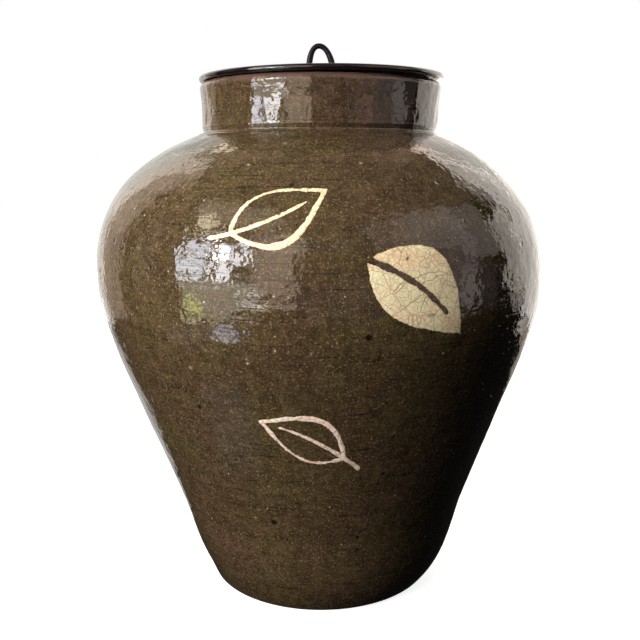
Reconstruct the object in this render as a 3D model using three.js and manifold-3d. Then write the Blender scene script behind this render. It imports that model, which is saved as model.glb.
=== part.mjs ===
// Tea storage jar: a thrown stoneware jar with slip inlays, closed by a lacquered lid with a finger loop.
// Millimetres, +Z up, origin on the table under the middle of the jar's base, front towards -Y.

import * as THREE from "three";
import { mergeVertices } from "three/addons/utils/BufferGeometryUtils.js";
import Module from "manifold-3d";

// Jar, outside: a flared foot, a leaning wall, a round belly, a sloping shoulder and a short neck.
// Angles are the outline's own lean, in degrees from the outward horizontal.
const JAR_HEIGHT = 355;
const FOOT_RADIUS = 79;
const FOOT_EDGE = 3;
const FOOT_ANGLE = 56;
const FOOT_HEIGHT = 65;
const WALL_RADIUS = 104.9;
const WALL_ANGLE = 69.5;
const BELLY_RADIUS = 156;
const BELLY_HEIGHT = 227.4;
const SHOULDER_ANGLE = 21;
const NECK_LENGTH = 33.6;
const NECK_RADIUS = 81.9;
const NECK_FLARE = 1.2;
const NECK_FILLET = 1.5;
const LIP_ROUND = 4.6;

// Fullness of the outside curves: how far each one keeps its end's direction, as a share of its rise or run.
const FOOT_START_FULLNESS = 0.364;
const FOOT_END_FULLNESS = 0.274;
const WALL_START_FULLNESS = 0.794;
const WALL_END_FULLNESS = 0.21;
const SHOULDER_START_FULLNESS = 0.717;
const SHOULDER_END_FULLNESS = 0.197;

// Line pressed in round the foot of the neck, where it was joined to the shoulder.
const NECK_LINE_RISE = 1.4;
const NECK_LINE_WIDTH = 2.6;
const NECK_LINE_DEPTH = 0.8;

// Jar, inside.
const JAR_WALL = 9;
const JAR_FLOOR = 12;
const FLOOR_ROUND = 10;
const LIP_ROUND_INSIDE = 2.8;
const LIP_LAND_SHARE = 0.16;

// Slip inlays: leaves cut into the wall and filled flush with white slip. A filled leaf keeps its vein open,
// and the others are drawn as a line with a stem and vein. Each leaf lies on a stretch of the jar's outline,
// some share of the way along it, turned round the jar from the front, with its midrib tilted. The midrib bows
// to one side by a share of its length.
const UPPER_LEAF_LENGTH = 62;
const UPPER_LEAF_WIDTH = 36;
const FILLED_LEAF_LENGTH = 74;
const FILLED_LEAF_WIDTH = 46;
const LOWER_LEAF_LENGTH = 58;
const LOWER_LEAF_WIDTH = 34;
const LEAF_STEM = 10;
const LEAVES = {
  upper_leaf_inlay: {
    on: "shoulder",
    along: 0.3,
    turn: -9,
    tilt: 28,
    length: UPPER_LEAF_LENGTH,
    width: UPPER_LEAF_WIDTH,
    bow: -0.08,
    stem: LEAF_STEM,
  },
  filled_leaf_inlay: {
    on: "wall",
    along: 0.98,
    turn: 21,
    tilt: -38,
    length: FILLED_LEAF_LENGTH,
    width: FILLED_LEAF_WIDTH,
    bow: 0.08,
    filled: true,
  },
  lower_leaf_inlay: {
    on: "wall",
    along: 0.24,
    turn: -5,
    tilt: 152,
    length: LOWER_LEAF_LENGTH,
    width: LOWER_LEAF_WIDTH,
    bow: -0.08,
    stem: LEAF_STEM,
  },
};
const LEAF_BLUNTNESS = 0.8;
const LEAF_LINE = 3.4;
const VEIN_WIDTH = 2.6;
const VEIN_REACH = 0.76;
const INLAY_DEPTH = 1.6;
const INLAY_GAP = 0.3;

// Lid: a turned board with a raised rim, over a hoop that drops into the mouth.
const LID_OVERHANG = 2;
const LID_EDGE = 4.7;
const LID_RIM_WIDTH = 6.5;
const LID_RIM_SLOPE = 2.2;
const LID_FIELD_DROP = 0.8;
const HOOP_CLEARANCE = 1.5;
const HOOP_WIDTH = 6.5;
const HOOP_DEPTH = 10;
const HOOP_CHAMFER = 1.2;

// Finger loop: a bent rod on two tenons, riveted over washers under the lid.
const ROD_RADIUS = 2.15;
const LOOP_SPAN = 17.4;
const LOOP_RISE = 24;
const LOOP_LEAN = 1.4;
const LOOP_OFFSET = -0.4;
const LOOP_LEG_FULLNESS = 0.47;
const LOOP_TOP_FULLNESS = 0.36;
const TENON_RADIUS = 1.5;
const TENON_CLEARANCE = 0.3;
const TENON_ROOT = 2;
const WASHER_RADIUS = 5;
const WASHER_THICKNESS = 1.2;
const RIVET_RADIUS = 3.1;
const RIVET_HEIGHT = 1.7;

// Fineness of the round forms.
const ROUND_SIDES = 56;
const SMALL_SIDES = 14;
const ROD_SIDES = 10;
const ROD_STEPS = 26;
const WELD = 1e-4;

const GLAZE = new THREE.MeshStandardMaterial({ color: 0x4a3a24, roughness: 0.22, metalness: 0 });
const SLIP = new THREE.MeshStandardMaterial({ color: 0xe3cf9f, roughness: 0.4, metalness: 0 });
const LACQUER = new THREE.MeshStandardMaterial({ color: 0x0e0b10, roughness: 0.18, metalness: 0 });
const BLACK_IRON = new THREE.MeshStandardMaterial({ color: 0x17161a, roughness: 0.5, metalness: 0.6 });

// Sizes that follow from the ones above.
const NECK_BASE = JAR_HEIGHT - NECK_LENGTH;
const RIM_RADIUS = NECK_RADIUS + NECK_FLARE;
const MOUTH_RADIUS = RIM_RADIUS - JAR_WALL;
const LID_RADIUS = RIM_RADIUS + LID_OVERHANG;
const LID_FIELD = LID_EDGE - LID_FIELD_DROP;
const LOOP_FEET = { left: LOOP_OFFSET - LOOP_SPAN / 2, right: LOOP_OFFSET + LOOP_SPAN / 2 };

const wasm = await Module();
wasm.setup();

const point = (x, y) => new THREE.Vector2(x, y);
const radians = THREE.MathUtils.degToRad;

// Whole steps from one number to another, both ends included.
function stepped(from, to, steps) {
  return Array.from({ length: steps + 1 }, (_, i) => from + ((to - from) * i) / steps);
}

// The point at a distance from another, in a direction in degrees from the outward horizontal.
function towards(from, degrees, distance) {
  const angle = radians(degrees);
  return point(from.x + distance * Math.cos(angle), from.y + distance * Math.sin(angle));
}

// Points on an arc, from one angle to another in degrees.
function arc(centre, radius, fromDegrees, toDegrees, steps) {
  return stepped(fromDegrees, toDegrees, steps).map((degrees) => towards(centre, degrees, radius));
}

// Revolves a half outline of (radius, height) points round the Z axis.
function revolve(outline, sides) {
  return new THREE.LatheGeometry(outline, sides).rotateX(Math.PI / 2);
}

// A closed geometry as a solid that can be joined and cut.
function solidOf(geometry) {
  const loose = geometry.index ? geometry.toNonIndexed() : geometry;
  const bare = new THREE.BufferGeometry().setAttribute("position", loose.getAttribute("position"));
  const merged = mergeVertices(bare, WELD);
  const vertProperties = merged.getAttribute("position").array;
  const triVerts = new Uint32Array(merged.index.array);
  return new wasm.Manifold(new wasm.Mesh({ numProp: 3, vertProperties, triVerts }));
}

// A joined or cut solid as a named piece.
function pieceOf(name, solid, material) {
  const { vertProperties, triVerts } = solid.getMesh();
  const geometry = new THREE.BufferGeometry();
  geometry.setAttribute("position", new THREE.BufferAttribute(vertProperties, 3));
  geometry.setIndex(new THREE.BufferAttribute(triVerts, 1));
  geometry.computeVertexNormals();
  const mesh = new THREE.Mesh(geometry, material);
  mesh.name = name;
  return mesh;
}

// The jar's outside as curves, from the foot's edge up to the fillet under the neck.
function jarCurves() {
  const foot = point(FOOT_RADIUS, 0);
  const footTop = towards(foot, FOOT_ANGLE, FOOT_EDGE);
  const wall = point(WALL_RADIUS, FOOT_HEIGHT);
  const belly = point(BELLY_RADIUS, BELLY_HEIGHT);
  const filletCentre = point(NECK_RADIUS + NECK_FILLET, NECK_BASE);
  const shoulder = towards(filletCentre, 270 - SHOULDER_ANGLE, NECK_FILLET);
  const leaning = (degrees, rise) => rise / Math.sin(radians(degrees));
  const footRise = wall.y - footTop.y;
  const wallRise = belly.y - wall.y;
  return {
    edge: new THREE.QuadraticBezierCurve(point(FOOT_RADIUS - FOOT_EDGE, 0), foot, footTop),
    foot: new THREE.CubicBezierCurve(
      footTop,
      towards(footTop, FOOT_ANGLE, leaning(FOOT_ANGLE, FOOT_START_FULLNESS * footRise)),
      towards(wall, WALL_ANGLE, -leaning(WALL_ANGLE, FOOT_END_FULLNESS * footRise)),
      wall,
    ),
    wall: new THREE.CubicBezierCurve(
      wall,
      towards(wall, WALL_ANGLE, leaning(WALL_ANGLE, WALL_START_FULLNESS * wallRise)),
      towards(belly, 90, -WALL_END_FULLNESS * wallRise),
      belly,
    ),
    shoulder: new THREE.CubicBezierCurve(
      belly,
      towards(belly, 90, SHOULDER_START_FULLNESS * (shoulder.y - belly.y)),
      towards(shoulder, -SHOULDER_ANGLE, SHOULDER_END_FULLNESS * (belly.x - shoulder.x)),
      shoulder,
    ),
    filletCentre,
  };
}

const curves = jarCurves();

// The jar's outline from the foot to the end of the shoulder, moved outwards by a distance.
function wallOutline(distance, steps = { foot: 4, wall: 5, shoulder: 8 }) {
  return Object.entries(steps).flatMap(([stretch, count], which) => {
    const curve = curves[stretch];
    const shares = stepped(0, 1, count).slice(which === 0 ? 0 : 1);
    return shares.map((share) => {
      const along = curve.getTangent(share);
      return curve.getPoint(share).add(point(along.y, -along.x).multiplyScalar(distance));
    });
  });
}

// The fillet between shoulder and neck, moved outwards by a distance.
function filletOutline(distance) {
  return arc(curves.filletCentre, NECK_FILLET - distance, 270 - SHOULDER_ANGLE, 180, 3).slice(1);
}

// The pressed line at the foot of the neck.
function neckLine() {
  const middle = NECK_BASE + NECK_LINE_RISE;
  const flare = (z) => NECK_RADIUS + (NECK_FLARE * (z - NECK_BASE)) / NECK_LENGTH;
  return [
    point(flare(middle - NECK_LINE_WIDTH / 2), middle - NECK_LINE_WIDTH / 2),
    point(flare(middle) - NECK_LINE_DEPTH, middle),
    point(flare(middle + NECK_LINE_WIDTH / 2), middle + NECK_LINE_WIDTH / 2),
  ];
}

// The rounded lip. A thin wall limits its rounding, so that a flat land is always left on top for the lid.
function lipOutline() {
  const room = JAR_WALL * (1 - LIP_LAND_SHARE);
  const fit = Math.min(1, room / (LIP_ROUND + LIP_ROUND_INSIDE));
  const outside = LIP_ROUND * fit;
  const inside = LIP_ROUND_INSIDE * fit;
  return [
    ...arc(point(RIM_RADIUS - outside, JAR_HEIGHT - outside), outside, 0, 90, 4),
    ...arc(point(MOUTH_RADIUS + inside, JAR_HEIGHT - inside), inside, 90, 180, 3),
  ];
}

// The inside of the jar, from the throat down the wall and across the floor to the axis.
function cavityOutline() {
  const wall = wallOutline(-JAR_WALL, { foot: 3, wall: 3, shoulder: 6 });
  const inside = [...wall.filter((p) => p.y > JAR_FLOOR + FLOOR_ROUND), ...filletOutline(-JAR_WALL)];
  const wallFoot = inside[0];
  const corner = point(wallFoot.x - (wallFoot.y - JAR_FLOOR) / Math.tan(radians(FOOT_ANGLE)), JAR_FLOOR);
  const floorEdge = point(corner.x - FLOOR_ROUND, JAR_FLOOR);
  const floor = new THREE.QuadraticBezierCurve(wallFoot, corner, floorEdge).getPoints(3);
  return [...inside.reverse(), ...floor.slice(1), point(0, JAR_FLOOR)];
}

// The jar's whole half outline, from the axis under the base round to the axis on the floor.
function jarOutline() {
  return [
    point(0, 0),
    ...curves.edge.getPoints(2).slice(0, -1),
    ...wallOutline(0),
    ...filletOutline(0),
    ...neckLine(),
    ...lipOutline(),
    ...cavityOutline(),
  ];
}

// A filled solid inside the jar's outline from foot to shoulder, moved outwards by a distance.
function jarFilled(distance) {
  const wall = wallOutline(distance);
  return solidOf(revolve([point(0, wall[0].y), ...wall, point(0, wall.at(-1).y)], ROUND_SIDES));
}

// A closed outline moved outwards by a distance, with its corners kept sharp.
function grown(outline, distance) {
  const normal = (a, b) => point(b.y - a.y, a.x - b.x).normalize();
  return outline.map((here, i) => {
    const first = normal(outline.at(i - 1), here);
    const second = normal(here, outline[(i + 1) % outline.length]);
    const middle = first.clone().add(second).normalize();
    return here.clone().add(middle.multiplyScalar(distance / middle.dot(first)));
  });
}

// A closed outline, anticlockwise, that lies a half width either side of a leaf's bowed midrib.
function midribOutline({ length, bow }, shares, halfWidth) {
  const midrib = (t) => length * 4 * bow * t * (1 - t);
  const edge = (t, side) => point(length * (t - 0.5), midrib(t) + side * halfWidth(t));
  const upper = shares.filter((t) => halfWidth(t) > WELD).reverse();
  return [...shares.map((t) => edge(t, -1)), ...upper.map((t) => edge(t, 1))];
}

// An outline as a block that stands across the jar's wall, deep enough to cross it all over a leaf.
function block(outline) {
  const depth = BELLY_RADIUS;
  const geometry = new THREE.ExtrudeGeometry(new THREE.Shape(outline), { depth, bevelEnabled: false });
  return solidOf(geometry.translate(0, 0, -depth / 2));
}

// A leaf as a block, filled or drawn as a line, with every edge moved outwards by a distance.
function leafBlock(leaf, distance) {
  const stem = (leaf.stem ?? leaf.width) / leaf.length;
  const blade = midribOutline(leaf, stepped(0, 1, 12), (t) => {
    return (leaf.width / 2) * Math.sin(Math.PI * t ** LEAF_BLUNTNESS);
  });
  const vein = midribOutline(leaf, stepped(-stem, VEIN_REACH, 7), () => VEIN_WIDTH / 2);
  const whole = block(grown(blade, distance));
  if (leaf.filled) {
    return whole.subtract(block(grown(vein, -distance)));
  }
  const middle = block(grown(blade, -LEAF_LINE - distance));
  return whole.subtract(middle).add(block(grown(vein, distance)));
}

// Where a leaf lies: its middle on the jar's outside, facing out of the wall.
function leafPlace({ on, along, turn, tilt }) {
  const middle = curves[on].getPoint(along);
  const upwards = curves[on].getTangent(along);
  const leanBack = Math.atan2(-upwards.x, upwards.y);
  return new THREE.Matrix4()
    .makeRotationZ(radians(turn))
    .multiply(new THREE.Matrix4().makeTranslation(0, -middle.x, middle.y))
    .multiply(new THREE.Matrix4().makeRotationX(Math.PI / 2 - leanBack))
    .multiply(new THREE.Matrix4().makeRotationZ(radians(tilt)));
}

// The jar with a recess for each leaf, and the slip that fills the recesses.
function stonewareJar() {
  const recessBand = jarFilled(JAR_WALL).subtract(jarFilled(-INLAY_DEPTH - INLAY_GAP));
  const slipBand = jarFilled(0).subtract(jarFilled(-INLAY_DEPTH));
  const pieces = [];
  let jar = solidOf(revolve(jarOutline(), ROUND_SIDES));
  for (const [name, leaf] of Object.entries(LEAVES)) {
    const place = leafPlace(leaf).elements;
    const slip = leafBlock(leaf, 0).transform(place).intersect(slipBand);
    jar = jar.subtract(leafBlock(leaf, INLAY_GAP).transform(place).intersect(recessBand));
    pieces.push(pieceOf(name, slip, SLIP));
  }
  return [pieceOf("jar_body", jar, GLAZE), ...pieces];
}

// A small round solid about a vertical axis that stands over a place on the X axis.
function turned(x, outline) {
  return solidOf(revolve(outline, SMALL_SIDES).translate(x, 0, 0));
}

// An upright pin between two heights.
function pin(x, radius, bottom, top) {
  return turned(x, [point(0, bottom), point(radius, bottom), point(radius, top), point(0, top)]);
}

// The lid's board: a round-nosed edge, a raised rim and a sunk field, drilled for the loop's tenons.
function lidBoard() {
  const nose = LID_EDGE / 2;
  const rimInside = LID_RADIUS - LID_RIM_WIDTH;
  const outline = [
    point(0, 0),
    ...arc(point(LID_RADIUS - nose, nose), nose, -90, 90, 6),
    point(rimInside, LID_EDGE),
    point(rimInside - LID_RIM_SLOPE, LID_FIELD),
    point(0, LID_FIELD),
  ];
  let board = solidOf(revolve(outline, ROUND_SIDES));
  for (const x of Object.values(LOOP_FEET)) {
    board = board.subtract(pin(x, TENON_RADIUS + TENON_CLEARANCE, -LID_EDGE, 2 * LID_EDGE));
  }
  return pieceOf("lid_board", board, LACQUER);
}

// The hoop under the board, which keeps the lid in the middle of the mouth.
function lidHoop() {
  const outside = NECK_RADIUS - JAR_WALL - HOOP_CLEARANCE;
  const inside = outside - HOOP_WIDTH;
  const outline = [
    point(inside, 0),
    point(inside, -HOOP_DEPTH),
    point(outside - HOOP_CHAMFER, -HOOP_DEPTH),
    point(outside, -HOOP_DEPTH + HOOP_CHAMFER),
    point(outside, 0),
    point(inside, 0),
  ];
  return pieceOf("lid_hoop", solidOf(revolve(outline, ROUND_SIDES)), LACQUER);
}

// The rod of the loop: two legs that rise straight from their feet to a top that leans to one side.
function loopRod() {
  const rise = LOOP_RISE - ROD_RADIUS;
  const top = LOOP_OFFSET - LOOP_LEAN;
  const at = (x, z) => new THREE.Vector3(x, 0, LID_FIELD + z);
  const leg = (foot) => [
    at(foot, 0),
    at(foot, LOOP_LEG_FULLNESS * rise),
    at(top + Math.sign(foot - top) * LOOP_TOP_FULLNESS * LOOP_SPAN, rise),
    at(top, rise),
  ];
  const path = new THREE.CurvePath();
  path.add(new THREE.CubicBezierCurve3(...leg(LOOP_FEET.left)));
  path.add(new THREE.CubicBezierCurve3(...leg(LOOP_FEET.right).reverse()));
  const section = new THREE.Shape(arc(point(0, 0), ROD_RADIUS, 0, 360, ROD_SIDES).slice(1));
  return solidOf(new THREE.ExtrudeGeometry(section, { steps: ROD_STEPS, extrudePath: path }));
}

// The domed head of a tenon, hammered over the washer above it.
function rivetHead(x) {
  const top = -WASHER_THICKNESS;
  const dome = (2 / 3) * RIVET_HEIGHT;
  const outline = stepped(-90, 0, 3).map((degrees) => {
    const angle = radians(degrees);
    return point(RIVET_RADIUS * Math.cos(angle), top - RIVET_HEIGHT + dome + dome * Math.sin(angle));
  });
  return turned(x, [...outline, point(RIVET_RADIUS, top), point(0, top)]);
}

// The finger loop: the rod, the tenons below its feet and the rivet heads on their ends.
function fingerLoop() {
  let loop = loopRod();
  for (const x of Object.values(LOOP_FEET)) {
    const tenon = pin(x, TENON_RADIUS, -WASHER_THICKNESS - RIVET_HEIGHT / 2, LID_FIELD + TENON_ROOT);
    loop = loop.add(tenon).add(rivetHead(x));
  }
  return pieceOf("finger_loop", loop, BLACK_IRON);
}

// A washer under the board, between it and a rivet head.
function washer(side) {
  const bore = TENON_RADIUS + TENON_CLEARANCE;
  const outline = [
    point(bore, 0),
    point(bore, -WASHER_THICKNESS),
    point(WASHER_RADIUS, -WASHER_THICKNESS),
    point(WASHER_RADIUS, 0),
    point(bore, 0),
  ];
  return pieceOf(`loop_washer_${side}`, turned(LOOP_FEET[side], outline), BLACK_IRON);
}

const jar = new THREE.Group();
jar.add(...stonewareJar());

const lid = new THREE.Group();
lid.position.z = JAR_HEIGHT;
lid.add(lidBoard(), lidHoop(), fingerLoop(), washer("left"), washer("right"));

const teaJar = new THREE.Group();
teaJar.add(jar, lid);

export default teaJar;
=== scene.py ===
"""Looks of the tea storage jar: thrown stoneware in a dark glaze with slip leaves, and a lacquered lid with
an iron loop.

Outlines are drawn in millimetres as (radius, height) and become metres when a mesh is made.
"""

import math

import bpy
import numpy as np
from mathutils import Matrix, Vector, noise


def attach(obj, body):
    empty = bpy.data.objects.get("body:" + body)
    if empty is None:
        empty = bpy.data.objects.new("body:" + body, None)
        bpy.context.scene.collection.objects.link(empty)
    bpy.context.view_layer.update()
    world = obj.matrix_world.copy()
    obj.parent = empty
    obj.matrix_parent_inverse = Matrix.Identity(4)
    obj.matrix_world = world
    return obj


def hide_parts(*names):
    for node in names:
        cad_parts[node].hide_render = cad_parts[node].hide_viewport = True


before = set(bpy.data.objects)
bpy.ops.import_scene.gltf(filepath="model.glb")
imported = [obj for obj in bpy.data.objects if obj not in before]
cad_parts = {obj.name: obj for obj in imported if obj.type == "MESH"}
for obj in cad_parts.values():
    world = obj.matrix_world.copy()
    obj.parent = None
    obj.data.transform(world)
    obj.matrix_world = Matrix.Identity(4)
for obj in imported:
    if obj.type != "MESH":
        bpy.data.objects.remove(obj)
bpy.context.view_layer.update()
MM = 0.001

# The jar, as the solids have it.
JAR_HEIGHT = 355
FOOT_RADIUS = 79
FOOT_EDGE = 3
FOOT_ANGLE = 56
FOOT_HEIGHT = 65
WALL_RADIUS = 104.9
WALL_ANGLE = 69.5
BELLY_RADIUS = 156
BELLY_HEIGHT = 227.4
SHOULDER_ANGLE = 21
NECK_BASE = 321.4
NECK_RADIUS = 81.9
RIM_RADIUS = 83.1
NECK_FILLET = 1.5
LIP_ROUND = 4.6
LIP_ROUND_INSIDE = 2.8
JAR_WALL = 9
JAR_FLOOR = 12
FLOOR_ROUND = 10
FOOT_START_FULLNESS = 0.364
FOOT_END_FULLNESS = 0.274
WALL_START_FULLNESS = 0.794
WALL_END_FULLNESS = 0.21
SHOULDER_START_FULLNESS = 0.717
SHOULDER_END_FULLNESS = 0.197

# Small forms left by the potter's fingers: the line pressed round the neck's foot, a ridge above it, a bead
# below it, and the lip's swelling.
NECK_LINE_RISE = 0.4
NECK_LINE_WIDTH = 2.2
NECK_LINE_DEPTH = 0.8
NECK_RIDGE = 0.15
NECK_RIDGE_RISE = 3.3
NECK_RIDGE_WIDTH = 0.7
SHOULDER_BEAD = 0.5
SHOULDER_BEAD_DROP = 1.5
SHOULDER_BEAD_TIGHTNESS = 5
LIP_SWELL = 0.8
LIP_SWELL_START = 338

# How the thrown wall strays: slow lumps as (height, size), throwing rings, upright flutes that set in at the
# neck's foot, and a sway to the right by height.
LUMPS = ((0.42, 68), (0.28, 24), (0.06, 9))
RING_HEIGHT = 0.06
RING_SPACING = 10.5
RING_WANDER = 5
RING_WANDER_SIZE = 55
RING_PATCH_SIZE = 40
RING_EVENNESS = 0.5
FLUTE_DEPTH = 1.3
FLUTE_WIDTH = 8
FLUTE_LENGTH = 32
FLUTES_SET_IN = (323, 329)
SWAY = {
    0: 0, 10: 2.7, 22: 2.8, 50: 2.2, 97: 1.0, 130: 0.4,
    200: 0, 250: -0.9, 288: -1.7, 315: -1.0, 328: 0.3, 355: 0.8,
}
SWAY_SOFTENING = 6

# Between which heights the truing of the base ends and that of the neck and the lip sets in, and how much of
# the neck's straying it took away.
BASE_TRUED = (0, 14)
NECK_TRUED = (305, 326)
NECK_TRUING = 0.55
LIP_TRUED = (346, 354)

# The slip leaves: where each lies and how it is drawn.
LEAVES = {
    "upper_leaf": dict(on="shoulder", along=0.3, turn=-9, tilt=28, length=62, width=36, bow=-0.08, stem=10),
    "filled_leaf": dict(on="wall", along=0.98, turn=21, tilt=-38, length=74, width=46, bow=0.08, filled=True),
    "lower_leaf": dict(on="wall", along=0.24, turn=-5, tilt=152, length=58, width=34, bow=-0.08, stem=10),
}
LEAF_BLUNTNESS = 0.8
LEAF_LINE = 3.4
LINE_PRESSURE = 0.9
LINE_PRESSURE_BELOW = 0.35
LINE_PRESSURE_ABOVE = -0.25
LEAF_MARGIN = 3
VEIN_WIDTH = 2.6
VEIN_REACH = 0.76
VEIN_START_SHARE = 0.65
VEIN_TAPER = 0.3
BRUSH_STRAYS = ((0.7, 6), (0.4, 1.7))
BRUSH_SEED_STEP = 10
SLIP_DEPTH = 1.4
SLIP_PROUD = 0.12
SLIP_SUNK = 0.06
SLIP_ROUNDING = 0.9

# The lid and its loop. The hoop and the washers stay a hair below the board.
LID_RADIUS = 85.1
LID_EDGE = 3.8
LID_RIM_WIDTH = 6.5
LID_RIM_SLOPE = 2.2
LID_FIELD = 3.0
RIM_SLOPE_ROUND = 1.2
RIM_SLOPE_TOP_PULL = 0.2
RIM_SLOPE_FOOT_PULL = 0.6
BELOW_BOARD = 0.02
HOOP_OUTSIDE = 71.4
HOOP_INSIDE = 64.9
HOOP_DEPTH = 10
HOOP_CHAMFER = 1.2
HOOP_ROUND_INSIDE = 0.5
ROD_RADIUS = 2.15
LOOP_SPAN = 17.4
LOOP_RISE = 24
LOOP_LEAN = 1.4
LOOP_OFFSET = -0.4
LOOP_LEG_FULLNESS = 0.47
LOOP_TOP_FULLNESS = 0.36
LOOP_THINNING = 0.3
LOOP_THINS_FROM = 0.55
COLLAR_FOOT_SWELL = 0.25
COLLAR_TOP_SWELL = 0.2
COLLAR_RISE = 0.6
DENTS_FROM = 1
DENT_SHARE = 0.035
DENT_SIZE = 2.6
DENT_SPREAD = 3
TENON_RADIUS = 1.5
WASHER_RADIUS = 5
WASHER_BORE = 1.8
WASHER_THICKNESS = 1.2
WASHER_CHAMFER = 0.25
RIVET_RADIUS = 3.1
RIVET_HEIGHT = 1.7
RIVET_DOME_SHARE = 2 / 3

# How the worn lid lies: where its left side rests on the lip, how many degrees it rises from there, and how
# far it is moved to the right.
LID_REST = -80
LID_TILT = 0.42
LID_SHIFT = 1.3

# Fineness of the meshes, in sides, rings and millimetres. Where the slip's grid is cut, the cut keeps off the
# grid's corners by a share of its spacing.
JAR_SIDES = 256
LID_SIDES = 192
SMALL_SIDES = 32
BASE_RINGS = 14
STRETCH_POINTS = 120
LEG_POINTS = 44
OUTSIDE_SPACING = 1.2
INSIDE_SPACING = 4.5
FLAT_SPACING = 9
FINE_BELOW_NECK = 5
FINE_ABOVE_NECK = 6
FINE_RINGS = 31
SLIP_GRID = 0.55
CUT_SHARES = (0.08, 0.92)


# Outlines.

def towards(start, degrees, distance):
    """The point at a distance from another, in a direction from the outward horizontal."""
    angle = math.radians(degrees)
    return np.array(start) + distance * np.array((math.cos(angle), math.sin(angle)))


def bent(handles, shares):
    """Points on the smooth curve that its handles pull on, at shares of the way along it."""
    t = np.atleast_1d(shares)[:, None]
    level = [np.array(handle, float) + 0 * t for handle in handles]
    while len(level) > 1:
        level = [a + (b - a) * t for a, b in zip(level, level[1:])]
    return level[0]


def arc(centre, radius, start, end, steps=14):
    """Points on a circle from one angle to another, in degrees."""
    return np.array([towards(centre, degrees, radius) for degrees in np.linspace(start, end, steps + 1)])


def evened(line, spacing):
    """The same line with its points at an even spacing."""
    length = np.r_[0, np.cumsum(np.linalg.norm(np.diff(line, axis=0), axis=1))]
    at = np.linspace(0, length[-1], max(2, round(length[-1] / spacing)) + 1)
    return np.c_[np.interp(at, length, line[:, 0]), np.interp(at, length, line[:, 1])]


def outward(line):
    """The direction square to a line at each of its points, on the line's right."""
    along = np.gradient(line, axis=0)
    along /= np.maximum(np.linalg.norm(along, axis=1), 1e-9)[:, None]
    return np.c_[along[:, 1], -along[:, 0]]


def eased(low, high, value):
    """How far a value has gone from low to high, from 0 to 1 with soft ends."""
    t = np.clip((np.asarray(value, float) - low) / (high - low), 0, 1)
    return t * t * (3 - 2 * t)


def leaning(degrees, rise):
    """The length of a leaning line that rises so far."""
    return rise / math.sin(math.radians(degrees))


FOOT_TOP = towards((FOOT_RADIUS, 0), FOOT_ANGLE, FOOT_EDGE)
WALL_START = (WALL_RADIUS, FOOT_HEIGHT)
BELLY = (BELLY_RADIUS, BELLY_HEIGHT)
FILLET_CENTRE = (NECK_RADIUS + NECK_FILLET, NECK_BASE)
SHOULDER_END = towards(FILLET_CENTRE, 270 - SHOULDER_ANGLE, NECK_FILLET)
FOOT_RISE = FOOT_HEIGHT - FOOT_TOP[1]
WALL_RISE = BELLY_HEIGHT - FOOT_HEIGHT
STRETCHES = {
    "foot": [
        FOOT_TOP,
        towards(FOOT_TOP, FOOT_ANGLE, leaning(FOOT_ANGLE, FOOT_START_FULLNESS * FOOT_RISE)),
        towards(WALL_START, WALL_ANGLE, -leaning(WALL_ANGLE, FOOT_END_FULLNESS * FOOT_RISE)),
        WALL_START,
    ],
    "wall": [
        WALL_START,
        towards(WALL_START, WALL_ANGLE, leaning(WALL_ANGLE, WALL_START_FULLNESS * WALL_RISE)),
        towards(BELLY, 90, -WALL_END_FULLNESS * WALL_RISE),
        BELLY,
    ],
    "shoulder": [
        BELLY,
        towards(BELLY, 90, SHOULDER_START_FULLNESS * (SHOULDER_END[1] - BELLY_HEIGHT)),
        towards(SHOULDER_END, -SHOULDER_ANGLE, SHOULDER_END_FULLNESS * (BELLY_RADIUS - SHOULDER_END[0])),
        SHOULDER_END,
    ],
}
WALL_LINE = np.vstack([
    bent(handles, np.linspace(0, 1, STRETCH_POINTS))[:-1] for handles in STRETCHES.values()
])


def neck_line():
    """The neck's outside from the pressed line at its foot to the start of the lip."""
    height = np.r_[
        np.linspace(NECK_BASE, NECK_BASE + FINE_ABOVE_NECK, FINE_RINGS),
        np.arange(NECK_BASE + FINE_ABOVE_NECK + 1, JAR_HEIGHT - LIP_ROUND, 1),
    ]
    flare = NECK_RADIUS + (RIM_RADIUS - NECK_RADIUS) * (height - NECK_BASE) / (JAR_HEIGHT - NECK_BASE)
    from_ridge = (height - NECK_BASE - NECK_RIDGE_RISE) / NECK_RIDGE_WIDTH
    swell = LIP_SWELL * eased(LIP_SWELL_START, JAR_HEIGHT - LIP_ROUND, height)
    fillet = arc(FILLET_CENTRE, NECK_FILLET, 270 - SHOULDER_ANGLE, 180)
    line = np.vstack([fillet[:-1], np.c_[flare + NECK_RIDGE * np.exp(-from_ridge**2) + swell, height]])
    from_line = np.abs(line[:, 1] - NECK_BASE - NECK_LINE_RISE) / NECK_LINE_WIDTH
    return line - np.c_[NECK_LINE_DEPTH * np.maximum(0, 1 - from_line), 0 * from_line]


def jar_outside():
    """From the edge of the flat base up the wall and the neck and over half of the lip."""
    edge = bent([(FOOT_RADIUS - FOOT_EDGE, 0), (FOOT_RADIUS, 0), FOOT_TOP], np.linspace(0, 1, 7))
    near_neck = WALL_LINE[:, 1] > NECK_BASE - FINE_BELOW_NECK
    wall = np.vstack([
        evened(WALL_LINE[~near_neck], OUTSIDE_SPACING),
        evened(WALL_LINE[near_neck], OUTSIDE_SPACING / 3),
    ])
    from_bead = wall[:, 1] - NECK_BASE + SHOULDER_BEAD_DROP
    bead = SHOULDER_BEAD * np.exp(-SHOULDER_BEAD_TIGHTNESS * from_bead**2)
    lip_centre = (RIM_RADIUS + LIP_SWELL - LIP_ROUND, JAR_HEIGHT - LIP_ROUND)
    return np.vstack([
        edge[:-1],
        wall + bead[:, None] * outward(wall),
        neck_line(),
        arc(lip_centre, LIP_ROUND, 0, 90),
    ])


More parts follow.
